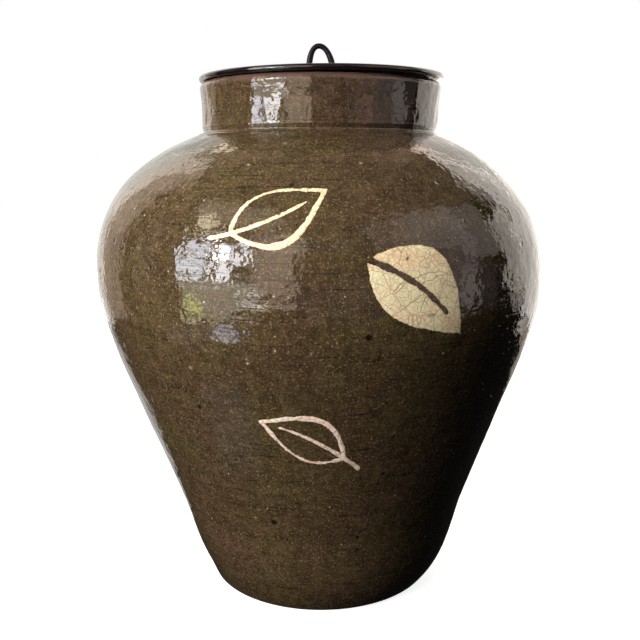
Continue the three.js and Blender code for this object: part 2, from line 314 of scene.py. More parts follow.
def jar_inside():
    """From the lip's inner edge down the wall and across the floor to the middle."""
    mouth = RIM_RADIUS - JAR_WALL
    wall = (WALL_LINE - JAR_WALL * outward(WALL_LINE))[::-1]
    wall = wall[wall[:, 1] > JAR_FLOOR + FLOOR_ROUND]
    throat = arc(FILLET_CENTRE, NECK_FILLET + JAR_WALL, 180, 270 - SHOULDER_ANGLE, 8)
    corner = (wall[-1][0] - (wall[-1][1] - JAR_FLOOR) / math.tan(math.radians(FOOT_ANGLE)), JAR_FLOOR)
    floor_edge = (corner[0] - FLOOR_ROUND, JAR_FLOOR)
    return np.vstack([
        arc((mouth + LIP_ROUND_INSIDE, JAR_HEIGHT - LIP_ROUND_INSIDE), LIP_ROUND_INSIDE, 90, 180, 8),
        throat,
        evened(wall, INSIDE_SPACING),
        bent([wall[-1], corner, floor_edge], np.linspace(0, 1, 8))[1:],
        evened(np.array([floor_edge, (0, JAR_FLOOR)]), INSIDE_SPACING)[1:],
    ])


# The potter's hand: how the thrown jar strays from its true outline, in millimetres.

def potters_hand(point):
    """How far the wall stands off at a point: slow lumps, throwing rings, and upright flutes on the neck."""
    lumps = sum(height * noise.noise(point / size) for height, size in LUMPS)
    wander = RING_WANDER * noise.noise(point / RING_WANDER_SIZE)
    turn = (point.z + wander) * math.tau / RING_SPACING
    rings = RING_HEIGHT * math.sin(turn) * (RING_EVENNESS + noise.noise(point / RING_PATCH_SIZE))
    groove = Vector((point.x / FLUTE_WIDTH, point.y / FLUTE_WIDTH, point.z / FLUTE_LENGTH))
    flutes = FLUTE_DEPTH * eased(*FLUTES_SET_IN, point.z) * noise.noise(groove)
    return lumps + rings + flutes


def strayed(true, out):
    """Where true points of the jar came to lie, pushed along the directions out of the wall.

    The base, the lip and the neck were trued with a rib, so they stray least. The wall leans a little to one
    side above the foot and to the other at the shoulder."""
    height = true[:, 2]
    neck_share = 1 - NECK_TRUING * eased(*NECK_TRUED, height)
    share = eased(*BASE_TRUED, height) * neck_share * (1 - eased(*LIP_TRUED, height))
    off = share * np.array([potters_hand(Vector(p)) for p in true])
    near = np.linspace(-SWAY_SOFTENING, SWAY_SOFTENING, 7)
    sway = np.mean([np.interp(height + d, list(SWAY), list(SWAY.values())) for d in near], axis=0)
    return true + off[:, None] * out + np.c_[sway, 0 * sway, 0 * sway]


# Meshes.

def piece(name, points, faces, *materials):
    """A named object from points in millimetres."""
    mesh = bpy.data.meshes.new(name)
    mesh.from_pydata((np.asarray(points) * MM).tolist(), [], faces)
    mesh.validate()
    mesh.shade_smooth()
    for material in materials:
        mesh.materials.append(material)
    made = bpy.data.objects.new(name, mesh)
    bpy.context.scene.collection.objects.link(made)
    return made


def ring(radius, height, sides, x=0):
    """Points round an upright axis, or the one point on it where the radius is nothing."""
    if radius < 1e-6:
        return np.array([(x, 0, height)])
    angle = np.linspace(0, math.tau, sides, endpoint=False)
    return np.c_[x + radius * np.cos(angle), radius * np.sin(angle), np.full(sides, height)]


def skinned(rings, closed=False):
    """Points and faces of a skin over rings of points, where a ring of one point closes an end."""
    first = np.r_[0, np.cumsum([len(r) for r in rings])]
    faces = []
    for i in range(len(rings) if closed else len(rings) - 1):
        j = (i + 1) % len(rings)
        a, b = int(first[i]), int(first[j])
        sides = max(len(rings[i]), len(rings[j]))
        for k in range(sides):
            n = (k + 1) % sides
            if len(rings[i]) == 1:
                faces.append((a, b + n, b + k))
            elif len(rings[j]) == 1:
                faces.append((a + k, a + n, b))
            else:
                faces.append((a + k, a + n, b + n, b + k))
    return np.vstack(rings), faces


def turned(name, outline, sides, material, x=0, closed=False, sharp=40):
    """A piece turned round an upright axis, with edges that are sharp above an angle in degrees."""
    made = piece(name, *skinned([ring(r, z, sides, x) for r, z in outline], closed), material)
    made.data.set_sharp_from_angle(angle=math.radians(sharp))
    return made


def stoneware_jar(glaze, bare_clay):
    """The jar's closed skin: the base, the strayed outside, and the inside down to its floor."""
    outside = jar_outside()
    inside = jar_inside()
    out = outward(outside)
    rings = [ring(0, 0, 1)]
    rings += [ring(r, 0, JAR_SIDES) for r in np.linspace(0, outside[0][0], BASE_RINGS)[1:-1]]
    for (radius, height), (lean, rise) in zip(outside, out):
        true = ring(radius, height, JAR_SIDES)
        rings.append(strayed(true, np.c_[lean * true[:, :2] / radius, np.full(JAR_SIDES, rise)]))
    for radius, height in inside[:-1]:
        true = ring(radius, height, JAR_SIDES)
        rings.append(strayed(true, np.zeros_like(true)))
    rings.append(ring(0, JAR_FLOOR, 1))
    jar = piece("stoneware_jar", *skinned(rings), glaze, bare_clay)
    for face in jar.data.polygons:
        under = max(jar.data.vertices[v].co.z for v in face.vertices) < 0.1 * MM
        face.material_index = 1 if under else 0
    return jar


# Slip leaves: drawn flat by how far each place is from the drawn edge, then laid on the jar's wall.

def leaf_distance(leaf, u, v):
    """Millimetres from the edge of a leaf's slip, below zero inside it."""
    length, width = leaf["length"], leaf["width"]
    step = 0.01

    def midrib(t):
        return 4 * leaf["bow"] * length * t * (1 - t)

    def half(t):
        return width / 2 * np.sin(math.pi * np.clip(t, 0, 1) ** LEAF_BLUNTNESS)

    t = u / length + 0.5
    past = np.maximum(0, np.maximum(-t, t - 1)) * length
    slope = (half(t + step) - half(t - step)) / (2 * step * length)
    blade = (np.abs(v - midrib(t)) - half(t)) / np.sqrt(1 + slope**2) + past
    start = -leaf.get("stem", width) / length
    beyond = np.maximum(0, np.maximum(start - t, t - VEIN_REACH)) * length
    vein = np.hypot(v - midrib(t), beyond) - VEIN_WIDTH * (VEIN_START_SHARE - VEIN_TAPER * t)
    if leaf.get("filled"):
        return np.maximum(blade, -vein)
    pressed = np.where(v < midrib(t), LINE_PRESSURE_BELOW, LINE_PRESSURE_ABOVE)
    pressure = LINE_PRESSURE + np.sin(math.pi * np.clip(t, 0, 1)) * pressed
    return np.minimum(np.maximum(blade, -blade - LEAF_LINE * pressure), vein)


def brushed(u, v, seed):
    """How the brush strayed from the drawn edge, in millimetres."""
    at = Vector((u, v, seed))
    return sum(stray * noise.noise(at / size) for stray, size in BRUSH_STRAYS)


def leaf_sheet(leaf, seed):
    """Points (u, v, distance) and faces of a leaf's slip, cut out along its edge from a fine grid."""
    reach = leaf["length"] / 2 + leaf.get("stem", 0) + LEAF_MARGIN
    side = leaf["width"] / 2 + abs(leaf["bow"]) * leaf["length"] + LEAF_MARGIN
    us = np.arange(-reach, leaf["length"] / 2 + LEAF_MARGIN, SLIP_GRID)
    vs = np.arange(-side, side, SLIP_GRID)
    u, v = np.meshgrid(us, vs, indexing="ij")
    stray = np.array([[brushed(a, b, seed) for b in vs] for a in us])
    distance = leaf_distance(leaf, u, v) + stray
    points, index, faces = [], {}, []

    def numbered(key, value):
        if key not in index:
            index[key] = len(points)
            points.append(value)
        return index[key]

    for i in range(len(us) - 1):
        for j in range(len(vs) - 1):
            corners = [(i, j), (i + 1, j), (i + 1, j + 1), (i, j + 1)]
            outline = []
            for a, b in zip(corners, corners[1:] + corners[:1]):
                if distance[a] < 0:
                    outline.append(numbered(a, (u[a], v[a], distance[a])))
                if (distance[a] < 0) != (distance[b] < 0):
                    share = np.clip(distance[a] / (distance[a] - distance[b]), *CUT_SHARES)
                    place = (u[a] + share * (u[b] - u[a]), v[a] + share * (v[b] - v[a]), 0.0)
                    outline.append(numbered(tuple(sorted((a, b))), place))
            if len(outline) > 2:
                faces.append(outline)
    return np.array(points), faces


def leaf_place(leaf):
    """Where a leaf's flat drawing stands: square to the wall at its middle."""
    handles = STRETCHES[leaf["on"]]
    middle = bent(handles, leaf["along"])[0]
    step = 1e-4
    upwards = (bent(handles, leaf["along"] + step) - bent(handles, leaf["along"] - step))[0]
    lean_back = math.atan2(-upwards[0], upwards[1])
    return (
        Matrix.Rotation(math.radians(leaf["turn"]), 4, "Z")
        @ Matrix.Translation((0, -middle[0], middle[1]))
        @ Matrix.Rotation(math.pi / 2 - lean_back, 4, "X")
        @ Matrix.Rotation(math.radians(leaf["tilt"]), 4, "Z")
    )


def on_wall(flat, place):
    """Points on the true wall straight behind a flat drawing, and the wall's directions there."""
    where = np.array(place)
    start = np.c_[flat, np.zeros(len(flat)), np.ones(len(flat))] @ where.T[:, :3]
    through = where[:3, 2]
    in_front, behind, halvings = 12.0, -40.0, 40
    near, far = np.full(len(flat), in_front), np.full(len(flat), behind)
    for _ in range(halvings):
        middle = (near + far) / 2
        at = start + middle[:, None] * through
        outside = np.hypot(at[:, 0], at[:, 1]) > np.interp(at[:, 2], WALL_LINE[:, 1], WALL_LINE[:, 0])
        near, far = np.where(outside, middle, near), np.where(outside, far, middle)
    at = start + near[:, None] * through
    out = outward(WALL_LINE)
    lean = np.interp(at[:, 2], WALL_LINE[:, 1], out[:, 0])
    rise = np.interp(at[:, 2], WALL_LINE[:, 1], out[:, 1])
    round_way = at[:, :2] / np.hypot(at[:, 0], at[:, 1])[:, None]
    return at, np.c_[lean[:, None] * round_way, rise]


def slip_leaf(name, leaf, seed, slip):
    """A leaf's slip in its recess, with a soft crown that stands a little proud of the glaze."""
    flat, faces = leaf_sheet(leaf, seed)
    wall, out = on_wall(flat[:, :2], leaf_place(leaf))
    thrown = strayed(wall, out)
    crown = -SLIP_SUNK + (SLIP_PROUD + SLIP_SUNK) * eased(0, SLIP_ROUNDING, -flat[:, 2])
    top = thrown + crown[:, None] * out
    bottom = thrown - SLIP_DEPTH * out
    count = len(flat)
    edges = {(a, b) for face in faces for a, b in zip(face, face[1:] + face[:1])}
    sides = [(b, a, a + count, b + count) for a, b in edges if (b, a) not in edges]
    under = [[n + count for n in reversed(face)] for face in faces]
    leaf_piece = piece(name, np.vstack([top, bottom]), faces + under + sorted(sides), slip)
    from_edge = leaf_piece.data.attributes.new("from_edge", "FLOAT", "POINT")
    from_edge.data.foreach_set("value", np.r_[-flat[:, 2], np.zeros(count)].astype(np.float32))
    leaf_piece.data.set_sharp_from_angle(angle=math.radians(50))
    return leaf_piece


# The lid.

def lacquered_board(lacquer):
    """A turned board with a rounded edge and a raised rim round its flat field."""
    nose = LID_EDGE / 2
    rim_inside = LID_RADIUS - LID_RIM_WIDTH
    field_edge = rim_inside - LID_RIM_SLOPE
    slope = bent([
        (rim_inside + RIM_SLOPE_ROUND, LID_EDGE),
        (rim_inside - RIM_SLOPE_TOP_PULL, LID_EDGE),
        (field_edge + RIM_SLOPE_FOOT_PULL, LID_FIELD),
        (field_edge - RIM_SLOPE_ROUND, LID_FIELD),
    ], np.linspace(0, 1, 9))
    outline = np.vstack([
        evened(np.array([(0, 0), (LID_RADIUS - nose, 0)]), FLAT_SPACING)[:-1],
        arc((LID_RADIUS - nose, nose), nose, -90, 90, 20),
        slope,
        evened(np.array([slope[-1], (0, LID_FIELD)]), FLAT_SPACING)[1:],
    ]) + (0, JAR_HEIGHT)
    return turned("lacquered_board", outline, LID_SIDES, lacquer)


def centring_hoop(lacquer):
    """The hoop under the board that keeps the lid in the middle of the mouth."""
    outline = np.array([
        (HOOP_INSIDE, -BELOW_BOARD),
        (HOOP_INSIDE, -HOOP_DEPTH + HOOP_ROUND_INSIDE),
        (HOOP_INSIDE + HOOP_ROUND_INSIDE, -HOOP_DEPTH),
        (HOOP_OUTSIDE - HOOP_CHAMFER, -HOOP_DEPTH),
        (HOOP_OUTSIDE, -HOOP_DEPTH + HOOP_CHAMFER),
        (HOOP_OUTSIDE, -BELOW_BOARD),
    ]) + (0, JAR_HEIGHT)
    return turned("centring_hoop", outline[::-1], LID_SIDES, lacquer, closed=True, sharp=25)


def iron_washer(name, x, iron):
    """A washer under the board, round one of the loop's tenons."""
    outline = np.array([
        (WASHER_BORE, -BELOW_BOARD),
        (WASHER_BORE, -WASHER_THICKNESS),
        (WASHER_RADIUS - WASHER_CHAMFER, -WASHER_THICKNESS),
        (WASHER_RADIUS, -WASHER_THICKNESS + WASHER_CHAMFER),
        (WASHER_RADIUS, -BELOW_BOARD),
    ]) + (0, JAR_HEIGHT)
    return turned(name, outline[::-1], SMALL_SIDES, iron, x=x, closed=True, sharp=25)


def iron_loop(iron):
    """One rod, hammered thinner over the top, with a tenon and a rivet head below each foot."""
    rise = LOOP_RISE - ROD_RADIUS
    top = LOOP_OFFSET - LOOP_LEAN
    feet = (LOOP_OFFSET - LOOP_SPAN / 2, LOOP_OFFSET + LOOP_SPAN / 2)
    shares = np.linspace(0, 1, LEG_POINTS)

    def leg(foot):
        reach = math.copysign(LOOP_TOP_FULLNESS * LOOP_SPAN, foot - top)
        handles = [(foot, 0), (foot, LOOP_LEG_FULLNESS * rise), (top + reach, rise), (top, rise)]
        return bent(handles, shares) + (0, LID_FIELD)

    def tenon(foot):
        """Places, heights and radii from the rivet head's lowest point up to the rod's foot."""
        dome = RIVET_DOME_SHARE * RIVET_HEIGHT
        head = [
            (-WASHER_THICKNESS - RIVET_HEIGHT + dome + dome * math.sin(a), RIVET_RADIUS * math.cos(a))
            for a in np.linspace(-math.pi / 2, 0, 9)
        ]
        steps = head + [
            (-WASHER_THICKNESS, RIVET_RADIUS),
            (-WASHER_THICKNESS, TENON_RADIUS),
            (LID_FIELD, TENON_RADIUS),
            (LID_FIELD, ROD_RADIUS + COLLAR_FOOT_SWELL),
            (LID_FIELD + COLLAR_RISE, ROD_RADIUS + COLLAR_TOP_SWELL),
        ]
        return np.array([(foot, z, r) for z, r in steps])

    left, right = leg(feet[0]), leg(feet[1])[::-1]
    rod = np.vstack([left[2:], right[1:-2]])
    thinner = LOOP_THINNING * eased(LOOP_THINS_FROM, 1, (rod[:, 1] - LID_FIELD) / rise)
    rod = np.c_[rod, ROD_RADIUS - thinner]
    path = np.vstack([tenon(feet[0]), rod, tenon(feet[1])[::-1]])
    along = np.gradient(path[:, :2], axis=0)
    heads = len(tenon(feet[0]))
    along[:heads] = (0, 1)
    along[-heads:] = (0, -1)
    along /= np.linalg.norm(along, axis=1)[:, None]
    angle = np.linspace(0, math.tau, SMALL_SIDES, endpoint=False)
    rings = []
    for (x, z, radius), (ax, az) in zip(path, along):
        across, deep = radius * np.cos(angle), radius * np.sin(angle)
        if radius < 1e-6:
            across, deep = np.zeros(1), np.zeros(1)
        if LID_FIELD + DENTS_FROM < z:
            places = [Vector((x, z, DENT_SPREAD * math.sin(a))) / DENT_SIZE for a in angle]
            dents = [1 + DENT_SHARE * noise.noise(place) for place in places]
            across, deep = across * dents, deep * dents
        rings.append(np.c_[x + az * across, deep, JAR_HEIGHT + z - ax * across])
    loop = piece("iron_loop", *skinned(rings), iron)
    loop.data.set_sharp_from_angle(angle=math.radians(45))
    return loop


# Finishes.

def colour(code):
    """An sRGB hex value as linear colour."""
    parts = [int(code[i:i + 2], 16) / 255 for i in (1, 3, 5)]
    return tuple(c / 12.92 if c <= 0.04045 else ((c + 0.055) / 1.055) ** 2.4 for c in parts) + (1.0,)


def put(tree, kind, inputs=(), out=0, **settings):
    """Adds a node, sets it, sets or links its inputs, and gives back one of its outputs."""
    node = tree.nodes.new(kind)
    for name, value in settings.items():
        setattr(node, name, value)
    for socket, value in dict(inputs).items():
        if isinstance(value, bpy.types.NodeSocket):
            tree.links.new(value, node.inputs[socket])
        else:
            node.inputs[socket].default_value = value
    return node.outputs[out] if node.outputs else None


def finish(name):
    """A new material and its empty node tree."""
    material = bpy.data.materials.new(name)
    material.use_nodes = True
    material.node_tree.nodes.clear()
    return material, material.node_tree


def clouds(tree, place, size_mm, low=0.35, high=0.65, stretch=(1, 1, 1), detail=4.0):
    """Soft patches of a real size, from 0 to 1, drawn out along an axis by a stretch."""
    at = put(tree, "ShaderNodeMapping", {"Vector": place, "Scale": [1 / s for s in stretch]})
    patch = put(tree, "ShaderNodeTexNoise", {
        "Vector": at, "Scale": 1 / (size_mm * MM), "Detail": detail, "Roughness": 0.6})
    return put(tree, "ShaderNodeMapRange", {
        "Value": patch, "From Min": low, "From Max": high}, interpolation_type="SMOOTHSTEP")


def spots(tree, place, apart_mm, radius_mm, share, core=0.45):
    """Round spots up to a radius, in a share of the places that lie apart by a real size.

    Each is full in its core, a share of its radius, and fades from there."""
    cells = put(tree, "ShaderNodeTexVoronoi", {"Vector": place, "Scale": 1 / (apart_mm * MM)})
    chance = put(tree, "ShaderNodeSeparateColor", {0: cells.node.outputs["Color"]})
    radius = put(tree, "ShaderNodeMapRange", {
        "Value": chance, "From Min": 1 - share, "To Max": radius_mm / apart_mm})
    inner = put(tree, "ShaderNodeMath", {0: radius, 1: core}, operation="MULTIPLY")
    return put(tree, "ShaderNodeMapRange", {
        "Value": cells, "From Min": radius, "From Max": inner}, interpolation_type="SMOOTHSTEP")


def jostled(tree, place, size_mm, reach_mm):
    """Places pushed about by a noise of a real size, so that what is drawn there loses its even edges."""
    push = put(tree, "ShaderNodeTexNoise", {"Vector": place, "Scale": 1 / (size_mm * MM)}, out="Color")
    return put(tree, "ShaderNodeVectorMath", {
        0: push, 1: (reach_mm * MM,) * 3, 2: place}, operation="MULTIPLY_ADD")


def stained(tree, under, over, pattern, *strengths):
    """A colour with another laid over it where a pattern shows, thinned by each strength."""
    share = pattern
    for strength in strengths:
        share = put(tree, "ShaderNodeMath", {0: share, 1: strength}, operation="MULTIPLY")
    return put(tree, "ShaderNodeMix", {0: share, 6: under, 7: over}, out=2, data_type="RGBA")


def skin(tree, sockets, *relief):
    """The surface: what its shader's sockets get, and its relief as pairs of a pattern and a height in mm."""
    height = 0.0
    for pattern, rise in relief:
        height = put(tree, "ShaderNodeMath", {0: pattern, 1: rise, 2: height}, operation="MULTIPLY_ADD")
    if relief:
        normal = put(tree, "ShaderNodeBump", {"Height": height, "Distance": MM, "Strength": 1.0})
        sockets = {**sockets, "Normal": normal}
    shader = put(tree, "ShaderNodeBsdfPrincipled", sockets)
    put(tree, "ShaderNodeOutputMaterial", {"Surface": shader})


def iron_brown_glaze():
    """Iron-brown ash glaze on thrown stoneware, dipped and fired glossy.

    It pools olive and thins to a red brown at the lip. The eye sees a deep dark skin with clouds, runs,
    turning lines, pale grit, pebbles, pinholes and pits under a shine, and less grit on the ribbed neck. The
    grain, the fine grit and the scratches are drawn coarser than real ones, so that they show."""
    glaze, tree = finish("iron_brown_glaze_dipped")
    place = put(tree, "ShaderNodeTexCoord", out="Object")
    height = put(tree, "ShaderNodeSeparateXYZ", {0: place}, out="Z")
    jagged = jostled(tree, place, 1.6, 1.4)
    broad = clouds(tree, place, 48)
    mottle = clouds(tree, place, 9, 0.38, 0.66)
    patches = clouds(tree, place, 3.5, 0.4, 0.64)
    grain = clouds(tree, place, 1.0, 0.4, 0.6, detail=2.0)
    flecks = clouds(tree, place, 1.2, 0.58, 0.66, detail=2.0)
    turns = clouds(tree, place, 2.2, 0.52, 0.72, stretch=(30, 30, 1))
    runs = clouds(tree, place, 3.2, 0.5, 0.72, stretch=(1, 1, 9), detail=2.0)
    scratches = clouds(tree, place, 1.2, 0.63, 0.69, stretch=(40, 40, 1), detail=2.0)
    grit = spots(tree, jagged, 8, 1.1, 0.6)
    fine_grit = spots(tree, jagged, 3.4, 0.7, 0.42)
    pinholes = spots(tree, jagged, 4, 0.8, 0.4)
    stones = spots(tree, jagged, 15, 2.4, 0.6)
    pebbles = spots(tree, jagged, 18, 3.0, 0.5)
    pits = spots(tree, jagged, 14, 2.6, 0.5)
    ribbed = put(tree, "ShaderNodeMapRange", {
        "Value": height, "From Min": 318 * MM, "From Max": 328 * MM, "To Min": 1.0, "To Max": 0.6})
    # Painted shade: the glaze is darkened towards the foot, where shade falls near the floor.
    foot = put(tree, "ShaderNodeMapRange", {"Value": height, "From Min": 45 * MM, "From Max": 5 * MM})
    waver = clouds(tree, place, 12, 0.3, 0.7)
    lip_start = put(tree, "ShaderNodeMath", {0: waver, 1: 4 * MM, 2: height}, operation="MULTIPLY_ADD")
    lip = put(tree, "ShaderNodeMapRange", {
        "Value": lip_start, "From Min": 351.5 * MM, "From Max": 354.5 * MM}, interpolation_type="SMOOTHSTEP")
    body = stained(tree, colour("#5d4e2f"), colour("#5b4630"), broad)
    for code, pattern, *strengths in (
        ("#362917", mottle, 0.5),
        ("#2c2114", patches, 0.45),
        ("#1d150c", grain, 0.48),
        ("#1d150c", turns, 0.35),
        ("#211a0e", runs, 0.35),
        ("#140e08", scratches, 0.6),
        ("#857453", flecks, 0.6, ribbed),
        ("#9c8a68", fine_grit, 0.7, ribbed),
        ("#b8a486", grit, 0.8, ribbed),
        ("#96805e", pebbles, 0.5),
        ("#0d0906", pinholes, 0.85),
        ("#0d0906", pits, 0.9),
        # painted shade towards the foot
        ("#2a2013", foot, 0.3),
        ("#574239", lip, 0.8),
    ):
        body = stained(tree, body, colour(code), pattern, *strengths)
    peel = clouds(tree, place, 1.8, 0.2, 0.8, stretch=(2.2, 2.2, 1), detail=2.0)
    ripple = clouds(tree, place, 9, 0.2, 0.8, detail=2.0)
    shine = put(tree, "ShaderNodeMapRange", {"Value": mottle, "To Min": 0.03, "To Max": 0.09})
    skin(
        tree, {"Base Color": body, "Roughness": shine, "IOR": 1.54},
        (peel, 0.03), (ripple, 0.24), (turns, -0.03), (scratches, -0.015), (pinholes, -0.14),
        (grit, 0.16), (fine_grit, 0.05), (stones, 0.4), (pebbles, 0.3), (pits, -0.3),
    )
    return glaze


def bare_stoneware():
    """Unglazed stoneware clay, cut off the wheel with a wire: dry buff brown with grit and drag lines."""
    clay, tree = finish("bare_stoneware_wire_cut")
    place = put(tree, "ShaderNodeTexCoord", out="Object")
    patches = clouds(tree, place, 30)
    grit = spots(tree, place, 3.5, 0.5, 0.5)
    drag = clouds(tree, place, 1.6, stretch=(40, 1, 1))
    body = stained(tree, colour("#8a6a4a"), colour("#6d5038"), patches)
    body = stained(tree, body, colour("#3a2a1e"), grit, 0.7)
    skin(tree, {"Base Color": body, "Roughness": 0.88}, (drag, 0.12), (grit, 0.1))
    return clay


def white_slip():
    """White slip pressed into the clay under clear glaze: cream, with a blush of clay where it lies thin low
    on the wall, crazed with stained lines and worn brown at the edge. The crazing's lines are drawn wider
    than real ones, so that they show."""
    slip, tree = finish("white_slip_inlaid_crazed")
    place = put(tree, "ShaderNodeTexCoord", out="Object")
    height = put(tree, "ShaderNodeSeparateXYZ", {0: place}, out="Z")
    from_edge = put(tree, "ShaderNodeAttribute", out="Fac", attribute_name="from_edge")
    stain = clouds(tree, place, 14, 0.45, 0.7)
    grain = clouds(tree, place, 2, 0.4, 0.75)
    thin = put(tree, "ShaderNodeMapRange", {"Value": height, "From Min": 200 * MM, "From Max": 150 * MM})
    shifted = jostled(tree, place, 5, 2)
    crack = 0.0
    core = 0.06
    for apart, width, depth in ((12, 0.24, 1.0), (5.5, 0.2, 0.8), (2.6, 0.12, 0.55)):
        cells = put(tree, "ShaderNodeTexVoronoi", {
            "Vector": shifted, "Scale": 1 / (apart * MM)}, feature="DISTANCE_TO_EDGE")
        line = put(tree, "ShaderNodeMapRange", {
            "Value": cells, "From Min": width / apart, "From Max": core / apart, "To Max": depth})
        crack = put(tree, "ShaderNodeMath", {0: crack, 1: line}, operation="MAXIMUM")
    ink = stained(tree, colour("#6b5222"), colour("#b5603a"), clouds(tree, place, 9, 0.45, 0.6))
    chips = spots(tree, shifted, 7, 1.4, 0.4)
    ragged = put(tree, "ShaderNodeMath", {0: grain, 1: -0.5, 2: from_edge}, operation="MULTIPLY_ADD")
    worn = put(tree, "ShaderNodeMapRange", {"Value": ragged, "From Min": 0.9, "From Max": -0.2})
    body = stained(tree, colour("#fff0bc"), colour("#f6e4cc"), thin)
    body = stained(tree, body, colour("#e4a878"), stain, 0.55)
    body = stained(tree, body, colour("#d8bc8a"), grain, 0.3)
    body = stained(tree, body, ink, crack, 0.7)
    body = stained(tree, body, colour("#3c2c1a"), chips, 0.85)
    body = stained(tree, body, colour("#a87844"), worn, 0.6)
    skin(
        tree, {"Base Color": body, "Roughness": 0.3, "IOR": 1.5},
        (grain, 0.03), (crack, -0.04), (chips, -0.15),
    )
    return slip


def black_lacquer():
    """Black lacquer rubbed and polished over turned wood: near black with a purple cast, a wet shine with
    hairline scratches on the edge, dulled by wear on top, and a trace of brown where it is handled. The
    scratches are drawn wider than real ones, so that they show."""
    lacquer, tree = finish("black_lacquer_polished")
    place = put(tree, "ShaderNodeTexCoord", out="Object")
    depth = clouds(tree, place, 25)
    rubbed = clouds(tree, place, 7, 0.6, 0.85)
    hairs = clouds(tree, place, 0.8, 0.55, 0.75, stretch=(18, 1, 1))
    wave = clouds(tree, place, 20, 0.2, 0.8)
    facing = put(tree, "ShaderNodeNewGeometry", out="Normal")
    upwards = put(tree, "ShaderNodeSeparateXYZ", {0: facing}, out="Z")
    worn = put(tree, "ShaderNodeMapRange", {
        "Value": upwards, "From Min": 0.93, "From Max": 0.99}, interpolation_type="SMOOTHSTEP")
    shine = put(tree, "ShaderNodeMapRange", {"Value": hairs, "To Min": 0.12, "To Max": 0.3})
    dull = put(tree, "ShaderNodeMath", {0: worn, 1: 0.48, 2: shine}, operation="MULTIPLY_ADD")
    wet = put(tree, "ShaderNodeMapRange", {"Value": worn, "To Min": 0.25, "To Max": 0.0})
    body = stained(tree, colour("#0d0a0f"), colour("#150f14"), depth)
    body = stained(tree, body, colour("#33201a"), rubbed, 0.35)
    sockets = {
        "Base Color": body, "Roughness": dull, "IOR": 1.52, "Coat Weight": wet, "Coat Roughness": 0.06,
    }
    skin(tree, sockets, (wave, 0.04), (hairs, -0.006))
    return lacquer


def blackened_iron():
    """Wrought iron, hammered and blackened with oil: dark grey with soft dents, dark pits and a low sheen."""
    iron, tree = finish("blackened_iron_hammered")
    place = put(tree, "ShaderNodeTexCoord", out="Object")
    scale = clouds(tree, place, 1.8)
    pits = spots(tree, place, 1.4, 0.25, 0.4)
    hammer = clouds(tree, place, 3, 0.2, 0.8, detail=1.0)
    wear = put(tree, "ShaderNodeMapRange", {"Value": scale, "To Min": 0.34, "To Max": 0.52})
    body = stained(tree, colour("#1b1a1d"), colour("#2b292b"), scale)
    body = stained(tree, body, colour("#0c0b0c"), pits)
    skin(
        tree, {"Base Color": body, "Roughness": wear, "Metallic": 0.85},
        (hammer, 0.12), (scale, 0.02), (pits, -0.05),
    )
    return iron


def pale_paper():
    """Seamless white paper under the jar: matt, with a painted glow that is weaker near the jar and stronger
    away from it, and a faint fibre that is drawn coarser than a real one."""
    paper, tree = finish("white_paper_seamless")
    place = put(tree, "ShaderNodeTexCoord", out="Object")
    fibre = clouds(tree, place, 4)
    body = stained(tree, colour("#c8c7c5"), colour("#bebdba"), fibre, 0.15)
    # Painted light: the paper glows, less near the jar and fully far from it.
    away = put(tree, "ShaderNodeVectorMath", {0: place}, out="Value", operation="LENGTH")
    painted_glow = put(tree, "ShaderNodeMapRange", {
        "Value": away, "From Min": 0.3, "From Max": 1.4, "To Min": 0.85, "To Max": 1.0,
    }, interpolation_type="SMOOTHSTEP")
    white = colour("#ffffff")
    skin(tree, {"Base Color": body, "Roughness": 0.9, "Emission Color": white, "Emission Strength": painted_glow})
    return paper


# Making the pieces.

glaze, clay, slip = iron_brown_glaze(), bare_stoneware(), white_slip()
lacquer, iron = black_lacquer(), blackened_iron()

jar = stoneware_jar(glaze, clay)
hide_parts("jar_body")
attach(jar, "jar")
for number, (name, leaf) in enumerate(LEAVES.items()):
    slip_piece = slip_leaf(f"{name}_slip", leaf, BRUSH_SEED_STEP * number, slip)
    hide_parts(f"{name}_inlay")
    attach(slip_piece, "jar")
lid_pieces = [
    (lacquered_board(lacquer), "lid_board", "lacquer"),
    (centring_hoop(lacquer), "lid_hoop", "lacquer"),
    (iron_loop(iron), "finger_loop", "black_iron"),
    (iron_washer("left_washer", LOOP_OFFSET - LOOP_SPAN / 2, iron), "loop_washer_left", "black_iron"),
    (iron_washer("right_washer", LOOP_OFFSET + LOOP_SPAN / 2, iron), "loop_washer_right", "black_iron"),
]
rest = Vector((LID_REST, 0, JAR_HEIGHT)) * MM
tilt = Matrix.Rotation(math.radians(-LID_TILT), 4, "Y")
tilted = Matrix.Translation(rest) @ tilt @ Matrix.Translation(-rest)
for lid_piece, node, slot in lid_pieces:
    lid_piece.data.transform(Matrix.Translation((LID_SHIFT * MM, 0, 0)) @ tilted)
    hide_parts(node)
    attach(lid_piece, "lid")


# Studio: soft panels and the camera in metres, and the paper floor in millimetres.

PANELS_AIM = Vector((0, 0, 0.2))
AIR_LIGHT = 0.01
FLOOR_REACH = 6000
FLOOR_DROP = 0.3
CAMERA_PLACE = (0, -0.61, 0.2979)
CAMERA_DOWN = 10.27
CAMERA_LENS = 47.5
CAMERA_SENSOR = 36

